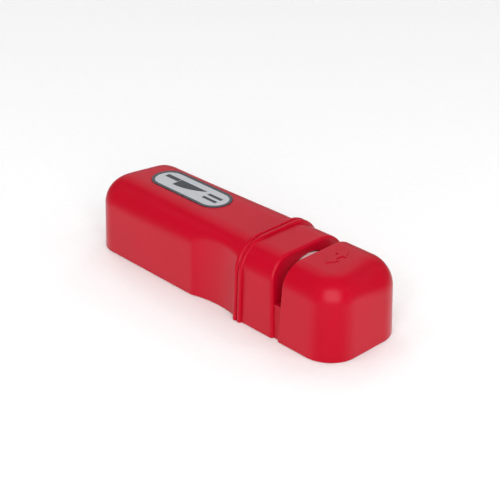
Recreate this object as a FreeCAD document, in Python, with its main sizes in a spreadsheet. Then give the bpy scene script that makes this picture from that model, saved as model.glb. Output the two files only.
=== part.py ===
import FreeCAD
import Part
import math
import os
import Sketcher

# A hand-held pull-through sharpener with two ceramic wheels, in millimetres.
# +X runs from the handle's rear end to the head, +Z is up, and the origin is the middle of the
# footprint on the surface that the tool stands on. A blade is drawn through the slot along Y.

DIMENSIONS = [
    # outer form
    ("overall_length", 146.4, "rear end to front end, at the rim"),
    ("form_half_width", 22.1, "half the width at the rim, without the collar ribs"),
    ("rim_height", 0.3, "shell rim above the surface, set by the foot pads"),
    ("form_top", 34.3, "flat top of the shells above the surface"),
    ("draft_angle", 2.0, "draft of the side and end walls, degrees"),
    ("rear_corner_radius", 12.0, "upright corners at the handle's rear end"),
    ("front_corner_radius", 13.4, "upright corners of the head"),
    ("long_edge_radius", 13.2, "rounding along the top's two long edges"),
    ("rear_edge_radius", 17.0, "rounding of the top's rear edge"),
    ("front_edge_radius", 10.0, "rounding of the top's front edge"),
    ("wall", 2.0, "shell wall"),
    # collar between the handle and the middle housing
    ("collar_split", 21.2, "X of the parting line between the two ribs"),
    ("collar_gap", 0.3, "width of the groove between the ribs"),
    ("rib_width", 2.1, "width of one rib along X"),
    ("rib_height", 1.2, "how far a rib stands out"),
    ("rib_round", 0.85, "rounding of a rib's outer edges"),
    # finger scallops
    ("scallop_middle", 7.4, "X of a scallop's deepest line"),
    ("scallop_depth", 2.4, "depth of a scallop"),
    ("scallop_radius", 46.0, "radius of a scallop's hollow"),
    ("scallop_round", 5.0, "rounding of a scallop's border"),
    # blade slot
    ("slot_rear", 41.15, "X of the slot's rear wall, carried down to the surface"),
    ("slot_rear_lean", 3.3, "lean of the slot's rear wall, degrees"),
    ("slot_front", 44.05, "X of the slot's front wall, carried down to the surface"),
    ("slot_front_lean", 2.6, "lean of the slot's front wall, degrees"),
    ("slot_wall", 1.8, "thickness of the two slot walls"),
    ("slot_floor", 15.2, "height of the slot's floor beside the wheels"),
    ("lip_round", 1.4, "rounding of the middle housing's slot edge"),
    ("head_lip_round", 0.5, "rounding of the head's slot edge"),
    # wheels and axle
    ("wheel_middle", 42.51, "X of the bottom of the V between the wheels"),
    ("wheel_height", 16.0, "axle's height"),
    ("wheel_radius", 14.0, "outer radius of a wheel"),
    ("wheel_tip_radius", 4.7, "radius at the bottom of the V"),
    ("wheel_gap", 0.1, "half the gap between the wheels"),
    ("wheel_bevel", 3.35, "width of the bevel along X"),
    ("wheel_land", 2.4, "width of the plain rim behind the bevel"),
    ("wheel_edge", 0.3, "edge break at the back of a wheel"),
    ("centre_washer_half", 0.25, "half the thickness of the washer between the hubs"),
    ("centre_washer_radius", 3.8, "outer radius of the washer between the hubs"),
    ("hub_radius", 4.0, "outer radius of a hub sleeve"),
    ("hub_flange_radius", 6.0, "radius of a hub's flange"),
    ("hub_flange", 1.5, "thickness of a hub's flange"),
    ("hub_nose_radius", 3.2, "radius of the hub's outer nose"),
    ("hub_nose", 0.8, "length of the hub's outer nose"),
    ("hub_clearance", 0.05, "running clearance of a hub on the axle, on the radius"),
    ("axial_play", 0.05, "play beside each hub and washer"),
    ("washer_thickness", 0.5, "thickness of a thrust washer"),
    ("washer_radius", 4.2, "outer radius of the washers"),
    ("axle_radius", 2.0, "radius of the steel axle"),
    ("axle_end", 1.2, "axle beyond its clip"),
    ("axle_head_radius", 3.2, "radius of the axle's head"),
    ("axle_head", 1.0, "thickness of the axle's head"),
    ("axle_end_room", 0.5, "room around the axle's head and clip, on the radius"),
    ("clip_groove_radius", 1.5, "radius at the bottom of the clip groove"),
    ("clip_thickness", 0.6, "thickness of the clip"),
    ("clip_radius", 3.3, "outer radius of the clip"),
    ("opening_radius", 14.7, "round openings for the wheels in the slot walls"),
    ("wheel_room", 10.0, "half the length of the room kept for the wheels along X"),
    ("notch_half_length", 8.0, "half the length of the shells' notches for the chassis"),
    # chassis
    ("chassis_rear", 24.6, "X of the chassis's rear end"),
    ("chassis_front", 60.4, "X of the chassis's front end"),
    ("chassis_half_width", 18.8, "half the chassis's width inside the shells"),
    ("chassis_wall", 1.8, "chassis wall and deck"),
    ("chassis_bottom", 2.3, "underside of the chassis"),
    ("window_half_width", 14.4, "half the width of the deck's wheel window"),
    ("bridge_inset", 1.2, "how far the bridge lies behind the shells' sides"),
    ("bridge_gap", 0.1, "gap between the bridge and the shells"),
    ("saddle_width", 3.4, "thickness of the saddle walls along X"),
    ("saddle_half_width", 9.0, "half the width of a saddle above the deck"),
    ("cap_seat", 18.4, "height of an axle cap's screw seats"),
    ("cap_top", 20.6, "top of an axle cap"),
    ("cap_hump_half", 3.8, "half the width of an axle cap's hump at its foot"),
    ("cap_hump_taper", 0.6, "how much narrower the hump is at its top, on each side"),
    ("cap_screw_spacing", 6.3, "distance of a cap's screws from the axle"),
    ("end_room_length", 3.0, "length of the room for the axle's head and clip"),
    ("tongue_depth", 6.0, "height of the tongue"),
    ("tongue_rear", 7.0, "X of the tongue's end inside the handle"),
    ("tongue_half_width", 14.0, "half the tongue's width"),
    ("tongue_overlap", 0.3, "how far the tongue reaches into the chassis"),
    ("fit_gap", 0.1, "general gap between fixed parts"),
    ("seat_gap", 0.03, "clearance of the axle in its saddles, on the radius"),
    ("clip_gap", 0.03, "clearance of the clip in its groove"),
    # base plates and feet
    ("plate_bottom", 0.7, "underside of the base plates"),
    ("plate_top", 2.2, "top of the base plates"),
    ("plate_gap", 0.12, "gap around the base plates"),
    ("plate_notch_gap", 0.4, "gap between the front plate and the slot walls"),
    ("foot_radius", 4.5, "radius of a foot pad"),
    ("foot_height", 1.3, "thickness of a foot pad"),
    ("foot_round", 0.35, "rounding of a foot pad's lower edge"),
    ("rear_foot", -60.7, "X of the rear foot pads"),
    ("front_foot", 63.7, "X of the front foot pads"),
    ("foot_side", 11.0, "distance of a foot pad from the middle plane"),
    ("foot_recess", 0.6, "depth of the recess that holds a foot pad"),
    ("well_depth", 0.6, "depth of the dust well under the wheels"),
    ("well_half_length", 7.0, "half the length of the dust well"),
    ("well_half_width", 8.0, "half the width of the dust well"),
    # screws and bosses
    ("boss_radius", 3.0, "radius of a screw boss"),
    ("screw_radius", 1.1, "screw shank"),
    ("screw_pilot", 1.15, "hole that a screw bites into"),
    ("screw_clear", 1.3, "clearance hole"),
    ("screw_head_radius", 2.1, "screw head"),
    ("screw_head", 0.9, "height of a screw head"),
    ("screw_recess_depth", 0.5, "depth of the cross recess"),
    ("screw_length", 7.0, "length of a screw's shank"),
    ("screw_face", 0.8, "flat middle of a screw head against its radius"),
    ("cross_reach", 0.55, "half the length of the cross recess against the head's radius"),
    ("cross_half_width", 0.14, "half the width of its arms against the head's radius"),
    ("cap_screw_scale", 0.73, "size of the cap screws against the others"),
    ("base_pilot_depth", 9.0, "depth of the pilot holes for the base plates' screws"),
    ("cover_pilot_depth", 8.0, "depth of the pilot holes above the chassis"),
    ("cap_pilot_depth", 6.0, "depth of the pilot holes for the cap screws"),
    ("handle_screw_rear", -46.0, "X of the handle plate's rear screws"),
    ("handle_screw_front", -14.0, "X of the handle plate's front screws"),
    ("handle_screw_side", 9.5, "distance of the handle plate's screws from the middle plane"),
    ("joint_screw", 12.0, "X of the screws that hold the tongue"),
    ("joint_screw_side", 8.0, "distance of the tongue's screws from the middle plane"),
    ("front_screw_rear", 27.2, "X of the rear screws under the middle housing"),
    ("front_screw_front", 57.2, "X of the screws under the head"),
    ("front_screw_side", 6.0, "distance of the front plate's screws from the middle plane"),
    ("cover_screw_side", 13.2, "distance of the cover screws from the middle plane"),
    # badge
    ("badge_middle", -31.2, "X of the badge's middle"),
    ("badge_length", 44.6, "length of the badge's frame"),
    ("badge_width", 15.8, "width of the badge's frame"),
    ("badge_border", 1.3, "width of the frame's border"),
    ("badge_seat", 0.9, "depth of the badge's recess"),
    ("bezel_proud", 0.35, "how far the frame stands above the top"),
    ("plate_proud", 0.15, "how far the badge's face stands above the top"),
    ("emblem_height", 0.12, "thickness of the emblem"),
    ("knife_split", -9.4, "X from the badge's middle to the emblem's blade heel"),
    ("knife_tip", 7.0, "X from the badge's middle to the blade's tip"),
    ("knife_half", 2.8, "half the height of the blade"),
    ("knife_grip", 8.6, "length from the blade's heel to the end of the grip"),
    ("knife_gap", 0.5, "gap between blade and grip, and the grip's lower edge"),
    ("bars_start", 9.2, "X from the badge's middle to the two bars"),
    ("bars_end", 17.4, "X from the badge's middle to the bars' far ends"),
    ("bar_width", 1.5, "width of a bar"),
    ("near_bar", -2.4, "Y of the near bar's lower edge"),
    ("far_bar", 0.9, "Y of the far bar's lower edge"),
    # draw arrow on the head
    ("arrow_middle", 54.4, "X of the arrow's centre line"),
    ("arrow_tip", 6.8, "distance of an arrow tip from the middle plane"),
    ("arrow_barb", 2.0, "distance of a barb from the middle plane"),
    ("arrow_barb_half", 2.7, "half the width across the barbs"),
    ("arrow_shaft_half", 0.9, "half the width of the shaft"),
    ("arrow_height", 0.35, "how far the arrow stands out"),
]

doc = FreeCAD.newDocument("pull_through_sharpener")
sheet = doc.addObject("Spreadsheet::Sheet", "dims")
for row, (alias, size, meaning) in enumerate(DIMENSIONS, start=1):
    sheet.set(f"A{row}", alias)
    sheet.set(f"B{row}", str(size))
    sheet.setAlias(f"B{row}", alias)
    sheet.set(f"C{row}", meaning)
doc.recompute()

AXIS_X = FreeCAD.Vector(1, 0, 0)
AXIS_Z = FreeCAD.Vector(0, 0, 1)
SIDES = {"near": -1, "far": 1}
REACH = 60.0                    # half the width of the slabs that only keep a region
MARGIN = "5"                    # how far a cutting body reaches past what it cuts
TINY = 1e-4                     # tolerance of the comparisons between lengths
REAR_X = "-dims.overall_length / 2"
FRONT_X = "dims.overall_length / 2"


def number(expression):
    """The value of an expression on the sheet's aliases."""
    return float(sheet.evalExpression(expression))


def vector(x, y, z):
    """A point from three expressions."""
    return FreeCAD.Vector(number(x), number(y), number(z))


# ---------------------------------------------------------------- sketches and bodies

def new_body(name):
    body = doc.addObject("PartDesign::Body", name)
    body.Label = name
    return body


def new_sketch(body, name, role, offset="0"):
    """A sketch on one of the body's own origin planes, moved along the plane's normal."""
    sketch = body.newObject("Sketcher::SketchObject", name)
    plane = next(item for item in body.Origin.OriginFeatures if item.Role == role)
    sketch.AttachmentSupport = (plane, "")
    sketch.MapMode = "FlatFace"
    sketch.setExpression("AttachmentOffset.Base.z", offset)
    return sketch


def constrain(sketch, name, constraint, expression):
    """Adds a dimension and binds it to the sheet."""
    index = sketch.addConstraint(constraint)
    sketch.renameConstraint(index, name)
    sketch.setExpression("Constraints." + name, expression)


def pin_point(sketch, name, geometry, position, across, up):
    """Holds one point of a sketch at a place given by two expressions."""
    pairs = (("DistanceX", across, -2), ("DistanceY", up, -1))
    for kind, expression, axis in pairs:
        if abs(number(expression)) < TINY:
            sketch.addConstraint(Sketcher.Constraint("PointOnObject", geometry, position, axis))
        else:
            dimension = Sketcher.Constraint(kind, geometry, position, number(expression))
            constrain(sketch, f"{name}_{kind[-1].lower()}", dimension, expression)


def polygon(sketch, corners, name="corner"):
    """A closed outline of straight lines through corners given as pairs of expressions."""
    points = [FreeCAD.Vector(number(across), number(up), 0) for across, up in corners]
    first = sketch.GeometryCount
    count = len(points)
    for index, point in enumerate(points):
        sketch.addGeometry(Part.LineSegment(point, points[(index + 1) % count]), False)
    for index, (across, up) in enumerate(corners):
        following = first + (index + 1) % count
        sketch.addConstraint(Sketcher.Constraint("Coincident", first + index, 2, following, 1))
        pin_point(sketch, f"{name}_{index}", first + index, 1, across, up)


def arc(centre_x, centre_y, radius, start, sweep):
    """A counter-clockwise arc in a sketch, from an angle in degrees through a sweep."""
    circle = Part.Circle(FreeCAD.Vector(centre_x, centre_y, 0), AXIS_Z, radius)
    return Part.ArcOfCircle(circle, math.radians(start), math.radians(start + sweep))


def rounded_plan(sketch, left, right, half_width, left_radius, right_radius):
    """A rectangle about the sketch's X axis whose two ends have their own corner radius."""
    x0, x1, width, r0, r1 = (number(e) for e in (left, right, half_width, left_radius,
                                                 right_radius))
    line = Part.LineSegment
    point = FreeCAD.Vector
    outline = [
        line(point(x0 + r0, -width, 0), point(x1 - r1, -width, 0)),
        arc(x1 - r1, r1 - width, r1, -90, 90),
        line(point(x1, r1 - width, 0), point(x1, width - r1, 0)),
        arc(x1 - r1, width - r1, r1, 0, 90),
        line(point(x1 - r1, width, 0), point(x0 + r0, width, 0)),
        arc(x0 + r0, width - r0, r0, 90, 90),
        line(point(x0, width - r0, 0), point(x0, r0 - width, 0)),
        arc(x0 + r0, r0 - width, r0, 180, 90),
    ]
    near_line, right_arc, right_line, far_right, far_line, far_left, left_line, left_arc = range(8)
    sketch.addGeometry(outline, False)
    for index in range(8):
        sketch.addConstraint(Sketcher.Constraint("Tangent", index, 2, (index + 1) % 8, 1))
    for index in (near_line, far_line):
        sketch.addConstraint(Sketcher.Constraint("Horizontal", index))
    for index in (left_line, right_line):
        sketch.addConstraint(Sketcher.Constraint("Vertical", index))
    sketch.addConstraint(Sketcher.Constraint("Equal", right_arc, far_right))
    sketch.addConstraint(Sketcher.Constraint("Equal", left_arc, far_left))
    distance = Sketcher.Constraint
    constrain(sketch, "left", distance("DistanceX", left_line, 1, x0), left)
    constrain(sketch, "right", distance("DistanceX", right_line, 1, x1), right)
    constrain(sketch, "near", distance("DistanceY", near_line, 1, -width), f"-({half_width})")
    constrain(sketch, "far", distance("DistanceY", far_line, 1, width), half_width)
    constrain(sketch, "left_radius", distance("Radius", left_arc, r0), left_radius)
    constrain(sketch, "right_radius", distance("Radius", right_arc, r1), right_radius)


def circle(sketch, name, across, up, radius):
    """A circle at a place given by expressions."""
    centre = FreeCAD.Vector(number(across), number(up), 0)
    index = sketch.addGeometry(Part.Circle(centre, AXIS_Z, number(radius)), False)
    pin_point(sketch, name, index, 3, across, up)
    constrain(sketch, name + "_radius", Sketcher.Constraint("Radius", index, number(radius)),
              radius)


def stadium(sketch, middle, length, width):
    """A slot shape along the sketch's X axis: two lines and two half circles."""
    x, half, radius = number(middle), number(length) / 2, number(width) / 2
    reach = half - radius
    point = FreeCAD.Vector
    outline = [
        Part.LineSegment(point(x - reach, -radius, 0), point(x + reach, -radius, 0)),
        arc(x + reach, 0, radius, -90, 180),
        Part.LineSegment(point(x + reach, radius, 0), point(x - reach, radius, 0)),
        arc(x - reach, 0, radius, 90, 180),
    ]
    sketch.addGeometry(outline, False)
    for index in range(4):
        sketch.addConstraint(Sketcher.Constraint("Tangent", index, 2, (index + 1) % 4, 1))
    for index in (1, 3):
        sketch.addConstraint(Sketcher.Constraint("PointOnObject", index, 3, -1))
    sketch.addConstraint(Sketcher.Constraint("Horizontal", 0))
    distance = Sketcher.Constraint
    constrain(sketch, "radius", distance("Radius", 1, radius), f"({width}) / 2")
    constrain(sketch, "right", distance("DistanceX", 1, 3, x + reach),
              f"{middle} + ({length}) / 2 - ({width}) / 2")
    constrain(sketch, "left", distance("DistanceX", 3, 3, x - reach),
              f"{middle} - ({length}) / 2 + ({width}) / 2")


def pad(body, sketch, length, taper="0", symmetric=False, name="pad"):
    feature = body.newObject("PartDesign::Pad", name)
    feature.Profile = sketch
    feature.setExpression("Length", length)
    feature.setExpression("TaperAngle", taper)
    if symmetric:
        feature.SideType = "Symmetric"
    return feature


def revolve(body, sketch, name="revolution"):
    """A full turn about the sketch's horizontal axis."""
    feature = body.newObject("PartDesign::Revolution", name)
    feature.Profile = sketch
    feature.ReferenceAxis = (sketch, ["H_Axis"])
    feature.Angle = 360.0
    return feature


def turned_part(name, outline, height="dims.wheel_height"):
    """A turned part on the wheel axis, from (X, radius) pairs of expressions."""
    body = new_body(name)
    sketch = new_sketch(body, name + "_section", "XZ_Plane")
    polygon(sketch, outline)
    revolve(body, sketch, name + "_turn")
    body.setExpression("Placement.Base.z", height)
    return body


# ---------------------------------------------------------------- solids and booleans

def box(name, low, high):
    """A box between two corners given as expressions."""
    item = doc.addObject("Part::Box", name)
    for axis, side, start, end in zip("xyz", ("Length", "Width", "Height"), low, high):
        item.setExpression(side, f"({end}) - ({start})")
        item.setExpression(f"Placement.Base.{axis}", start)
    return item


def upright_cylinder(name, centre, low, high, radius):
    """A cylinder along Z."""
    item = doc.addObject("Part::Cylinder", name)
    item.setExpression("Radius", radius)
    item.setExpression("Height", f"({high}) - ({low})")
    for axis, place in zip("xyz", (*centre, low)):
        item.setExpression(f"Placement.Base.{axis}", place)
    return item


def level_cylinder(name, start, end, height, radius):
    """A cylinder along X in the middle plane."""
    item = doc.addObject("Part::Cylinder", name)
    item.Placement = FreeCAD.Placement(FreeCAD.Vector(), FreeCAD.Rotation(AXIS_Z, AXIS_X))
    item.setExpression("Radius", radius)
    item.setExpression("Height", f"({end}) - ({start})")
    item.setExpression("Placement.Base.x", start)
    item.setExpression("Placement.Base.z", height)
    return item


def fuse(name, *items):
    item = doc.addObject("Part::MultiFuse", name)
    item.Shapes = list(items)
    item.Label = name
    return item


def common(name, base, tool):
    item = doc.addObject("Part::Common", name)
    item.Base = base
    item.Tool = tool
    item.Label = name
    return item


def cut(name, base, *tools):
    """The base without the tools."""
    item = doc.addObject("Part::Cut", name)
    item.Base = base
    item.Tool = tools[0] if len(tools) == 1 else fuse(name + "_tools", *tools)
    item.Label = name
    return item


def round_edges(name, base, radii):
    """A Part fillet. radii takes an edge and gives its start and end radius, or None."""
    doc.recompute()
    picked = []
    for index, edge in enumerate(base.Shape.Edges, start=1):
        sizes = radii(edge)
        if sizes:
            picked.append((index, *sizes))
    item = doc.addObject("Part::Fillet", name)
    item.Base = base
    item.Edges = picked
    item.Label = name
    doc.recompute()
    return item


def slab(name, rear, front):
    """A tall block across the whole width, bounded by two lines in the XZ plane.
    Each bound is a pair: its X at height 0, and its lean in degrees, positive towards +X."""
    body = new_body(name)
    sketch = new_sketch(body, name + "_side", "XZ_Plane")

    def at(bound, height):
        return f"{bound[0]} + ({height}) * tan({bound[1]})"

    low, high = f"-{MARGIN}", f"dims.form_top + {MARGIN}"
    corners = [(at(rear, low), low), (at(front, low), low), (at(front, high), high),
               (at(rear, high), high)]
    polygon(sketch, corners)
    pad(body, sketch, str(2 * REACH), symmetric=True, name=name + "_pad")
    return body


# ---------------------------------------------------------------- outer form and cavity

def tapered_form(name, inset, low, high, taper_from="dims.rim_height"):
    """The drafted block behind the outer surface, set in by an amount, before its rounding."""
    body = new_body(name + "_block")
    sketch = new_sketch(body, name + "_plan", "XY_Plane", low)
    shift = f"({inset} + ({low} - {taper_from}) * tan(dims.draft_angle))"
    rounded_plan(sketch, f"{REAR_X} + {shift}", f"{FRONT_X} - {shift}",
                 f"dims.form_half_width - {shift}", f"dims.rear_corner_radius - {shift}",
                 f"dims.front_corner_radius - {shift}")
    pad(body, sketch, f"{high} - ({low})", "-dims.draft_angle", name=name + "_pad")
    return body


def rounded_form(name, inset):
    """The closed form of the whole tool, set in by an amount: drafted walls and a rounded top.
    The rounding changes from the long edges' radius to each end's own radius in the corners."""
    block = tapered_form(name, inset, "dims.rim_height", f"dims.form_top - {inset}")
    top = number(f"dims.form_top - {inset}")
    side = number(f"dims.long_edge_radius - {inset}")
    ends = {-1: number(f"dims.rear_edge_radius - {inset}"),
            1: number(f"dims.front_edge_radius - {inset}")}

    def radii(edge):
        if edge.BoundBox.ZMin < top - TINY:
            return None
        size = edge.BoundBox
        end = ends[1 if size.Center.x > 0 else -1]
        if size.XLength > number("dims.overall_length") / 2:
            return side, side
        if size.XLength < TINY:
            return end, end
        first = edge.firstVertex(True).Point
        last = edge.lastVertex(True).Point
        return (side, end) if abs(first.y) > abs(last.y) else (end, side)

    return round_edges(name, block, radii)


def scallop_cutter(name, extra):
    """The two leaning cylinders that hollow the handle's sides, made larger by an amount."""
    cutters = []
    for side, sign in SIDES.items():
        item = doc.addObject("Part::Cylinder", f"{name}_{side}")
        lean = FreeCAD.Rotation(AXIS_X, sign * number("dims.draft_angle"))
        item.Placement = FreeCAD.Placement(FreeCAD.Vector(), lean)
        item.setExpression("Radius", f"dims.scallop_radius + {extra}")
        item.setExpression("Height", "dims.form_top * 2")
        item.setExpression("Placement.Base.x", "dims.scallop_middle")
        centre = "dims.form_half_width - dims.scallop_depth + dims.scallop_radius"
        item.setExpression("Placement.Base.y", f"{sign} * ({centre})")
        item.setExpression("Placement.Base.z", "-dims.wall")
        cutters.append(item)
    return fuse(name, *cutters)


def rib(name, start, end):
    """One collar rib: the form's cross-section made larger and drawn out along X."""
    body = new_body(name)
    sketch = new_sketch(body, name + "_section", "YZ_Plane", start)
    grown = "dims.form_half_width + dims.rib_height"
    top = "dims.form_top + dims.rib_height"
    shift = f"({top} - dims.rim_height) * tan(dims.draft_angle)"
    polygon(sketch, [(f"-({grown})", "dims.rim_height"), (grown, "dims.rim_height"),
                     (f"{grown} - {shift}", top), (f"-({grown} - {shift})", top)])
    feature = pad(body, sketch, f"{end} - ({start})", name=name + "_pad")
    doc.recompute()
    shoulders = [f"Edge{index}" for index, edge in enumerate(feature.Shape.Edges, start=1)
                 if edge.BoundBox.ZMin > number(top) - TINY
                 and edge.BoundBox.XLength > number(f"{end} - ({start})") / 2]
    shoulder = body.newObject("PartDesign::Fillet", name + "_shoulders")
    shoulder.Base = (feature, shoulders)
    shoulder.setExpression("Radius", "dims.long_edge_radius + dims.rib_height")
    doc.recompute()
    rim = number("dims.rim_height")
    outer = [f"Edge{index}" for index, edge in enumerate(shoulder.Shape.Edges, start=1)
             if edge.BoundBox.XLength < TINY and edge.BoundBox.ZMax > rim + TINY]
    rounding = body.newObject("PartDesign::Fillet", name + "_rounding")
    rounding.Base = (shoulder, outer)
    rounding.setExpression("Radius", "dims.rib_round")
    return body


def cylinders(name, places, low, high, radius):
    """A row of upright cylinders at given places, as one tool."""
    items = [upright_cylinder(f"{name}_{index}", place, low, high, radius)
             for index, place in enumerate(places)]
    return fuse(name, *items)


LOW = "dims.rim_height"
ROOF = "dims.form_top"
DECK_BOTTOM = "dims.slot_floor - dims.chassis_wall"
# from the bottom of the V to a wheel's back, and on to a saddle wall
WHEEL_BACK = "dims.wheel_gap + dims.wheel_bevel + dims.wheel_land"
SADDLE_INNER = (f"{WHEEL_BACK} + dims.hub_flange + dims.hub_nose + dims.axial_play * 2"
                " + dims.washer_thickness")
SADDLE_X = {"rear": f"dims.wheel_middle - ({SADDLE_INNER}) - dims.saddle_width / 2",
            "front": f"dims.wheel_middle + ({SADDLE_INNER}) + dims.saddle_width / 2"}


def pairs(places, side):
    """A near and a far position at every X, the same distance from the middle plane."""
    return [(x, f"{sign} * {side}") for x in places for sign in SIDES.values()]


BEHIND = (f"{REAR_X} - {MARGIN}", "0")
AHEAD = (f"{FRONT_X} + {MARGIN}", "0")
SCREWS = {
    "handle_base_screws": pairs(("dims.handle_screw_rear", "dims.handle_screw_front"),
                                "dims.handle_screw_side"),
    "front_base_screws": pairs(("dims.front_screw_rear", "dims.front_screw_front"),
                               "dims.front_screw_side"),
    "cover_screws": pairs(("dims.front_screw_rear", "dims.front_screw_front"),
                          "dims.cover_screw_side"),
    "handle_joint_screws": pairs(("dims.joint_screw",), "dims.joint_screw_side"),
    "axle_cap_screws": pairs(SADDLE_X.values(), "dims.cap_screw_spacing"),
}

form = rounded_form("form", "0")
inner_form = rounded_form("inner_form", "dims.wall")

# handle: the rear stretch of the form, with its finger scallops and the rear rib
rear_rib_start = "dims.collar_split - dims.collar_gap / 2 - dims.rib_width"
rear_rib_end = "dims.collar_split - dims.collar_gap / 2"
front_rib_start = "dims.collar_split + dims.collar_gap / 2"
front_rib_end = "dims.collar_split + dims.collar_gap / 2 + dims.rib_width"
SPLIT_GAP = "0.02"
handle_slab = slab("handle_slab", BEHIND, (f"dims.collar_split - {SPLIT_GAP}", "0"))
handle_form = common("handle_form", form, handle_slab)
scallop_region = slab("scallop_region", BEHIND, (rear_rib_start, "0"))
scallops = common("scallops", scallop_cutter("scallop_cylinders", "0"), scallop_region)
handle_hollowed = cut("handle_hollowed", handle_form, scallops)


def scallop_border(edge):
    """Picks the rounding of a scallop's border, for an edge that lies on its cylinder."""
    reach = number("dims.form_half_width - dims.scallop_depth + dims.scallop_radius")
    lean = math.radians(number("dims.draft_angle"))
    for place in (edge.FirstParameter, (edge.FirstParameter + edge.LastParameter) / 2,
                  edge.LastParameter):
        point = edge.valueAt(place)
        depth = (point.z + number("dims.wall")) * math.sin(lean)
        across = (reach - abs(point.y)) * math.cos(lean) - depth
        along = point.x - number("dims.scallop_middle")
        if abs(math.hypot(across, along) - number("dims.scallop_radius")) > number("dims.fit_gap"):
            return None
    size = edge.BoundBox
    if size.ZLength < 1 or size.XMin > number(rear_rib_start) - TINY:
        return None
    return number("dims.scallop_round"), number("dims.scallop_round")


handle_scalloped = round_edges("handle_scalloped", handle_hollowed, scallop_border)
handle_outer = fuse("handle_outer", handle_scalloped, rib("rear_rib", rear_rib_start,
                                                          rear_rib_end))
end_wall = "dims.collar_split - dims.wall"
handle_cavity_slab = slab("handle_cavity_slab", BEHIND, (end_wall, "0"))
handle_bosses = cylinders("handle_bosses", SCREWS["handle_base_screws"],
                          "dims.plate_top", ROOF, "dims.boss_radius")
joint_bosses = cylinders("joint_bosses", SCREWS["handle_joint_screws"],
                         "dims.slot_floor", ROOF, "dims.boss_radius")
handle_cavity = cut("handle_cavity", common("handle_space", inner_form, handle_cavity_slab),
                    handle_bosses, joint_bosses, scallop_cutter("scallop_backs", "dims.wall"))
handle_pilots = cylinders("handle_pilots", SCREWS["handle_base_screws"],
                          LOW, "dims.plate_top + dims.base_pilot_depth",
                          "dims.screw_pilot")
joint_pilots = cylinders("joint_pilots", SCREWS["handle_joint_screws"],
                         LOW, "dims.slot_floor + dims.cover_pilot_depth", "dims.screw_pilot")
tongue_hole = box("tongue_hole",
                  ("dims.collar_split - dims.wall * 2", "-dims.tongue_half_width - dims.fit_gap",
                   "dims.slot_floor - dims.tongue_depth - dims.fit_gap"),
                  (f"dims.collar_split + {MARGIN}", "dims.tongue_half_width + dims.fit_gap",
                   "dims.slot_floor + dims.fit_gap"))
badge_body = new_body("badge_seat_tool")
badge_sketch = new_sketch(badge_body, "badge_seat_plan", "XY_Plane",
                          "dims.form_top - dims.badge_seat")
stadium(badge_sketch, "dims.badge_middle", "dims.badge_length + dims.fit_gap * 2",
        "dims.badge_width + dims.fit_gap * 2")
pad(badge_body, badge_sketch, f"dims.badge_seat + {MARGIN}", name="badge_seat_pad")
handle_shell = cut("handle_shell", handle_outer, handle_cavity, handle_pilots, joint_pilots,
                   tongue_hole, badge_body)

# middle housing: from the parting line to the slot's rear wall, with the front rib
slot_rear_bound = ("dims.slot_rear", "-dims.slot_rear_lean")
slot_front_bound = ("dims.slot_front", "dims.slot_front_lean")
mid_slab = slab("mid_slab", (f"dims.collar_split + {SPLIT_GAP}", "0"), slot_rear_bound)
mid_form = common("mid_form", form, mid_slab)


def slot_edge(bound, radius):
    """Picks the outline of a slot wall, apart from its lower edge, for rounding."""
    foot = number(bound[0])
    slope = math.tan(math.radians(number(bound[1])))

    def radii(edge):
        ends = [vertex.Point for vertex in edge.Vertexes]
        on_wall = all(abs(point.x - foot - point.z * slope) < TINY for point in ends)
        lifted = any(point.z > number("dims.rim_height") + TINY for point in ends)
        return (number(radius), number(radius)) if on_wall and lifted else None

    return radii


mid_rounded = round_edges("mid_rounded", mid_form, slot_edge(slot_rear_bound, "dims.lip_round"))
mid_outer = fuse("mid_outer", mid_rounded, rib("front_rib", front_rib_start, front_rib_end))
mid_cavity_slab = slab("mid_cavity_slab", (f"dims.collar_split - {MARGIN}", "0"),
                       ("dims.slot_rear - dims.slot_wall", "-dims.slot_rear_lean"))
cover_bosses = cylinders("cover_bosses", SCREWS["cover_screws"], "dims.slot_floor", ROOF,
                         "dims.boss_radius")
mid_cavity = cut("mid_cavity", common("mid_space", inner_form, mid_cavity_slab), cover_bosses)
cover_pilots = cylinders("cover_pilots", SCREWS["cover_screws"], LOW,
                         "dims.slot_floor + dims.cover_pilot_depth", "dims.screw_pilot")
room_rear = "dims.wheel_middle - dims.wheel_room"
room_front = "dims.wheel_middle + dims.wheel_room"
wheel_opening = level_cylinder("wheel_opening", room_rear, room_front, "dims.wheel_height",
                               "dims.opening_radius")
chassis_notch = box("chassis_notch",
                    ("dims.wheel_middle - dims.notch_half_length",
                     "-dims.chassis_half_width - dims.fit_gap", "0"),
                    ("dims.wheel_middle + dims.notch_half_length",
                     "dims.chassis_half_width + dims.fit_gap",
                     "dims.slot_floor + dims.fit_gap"))
mid_shell = cut("mid_shell", mid_outer, mid_cavity, cover_pilots, wheel_opening, chassis_notch)

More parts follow.
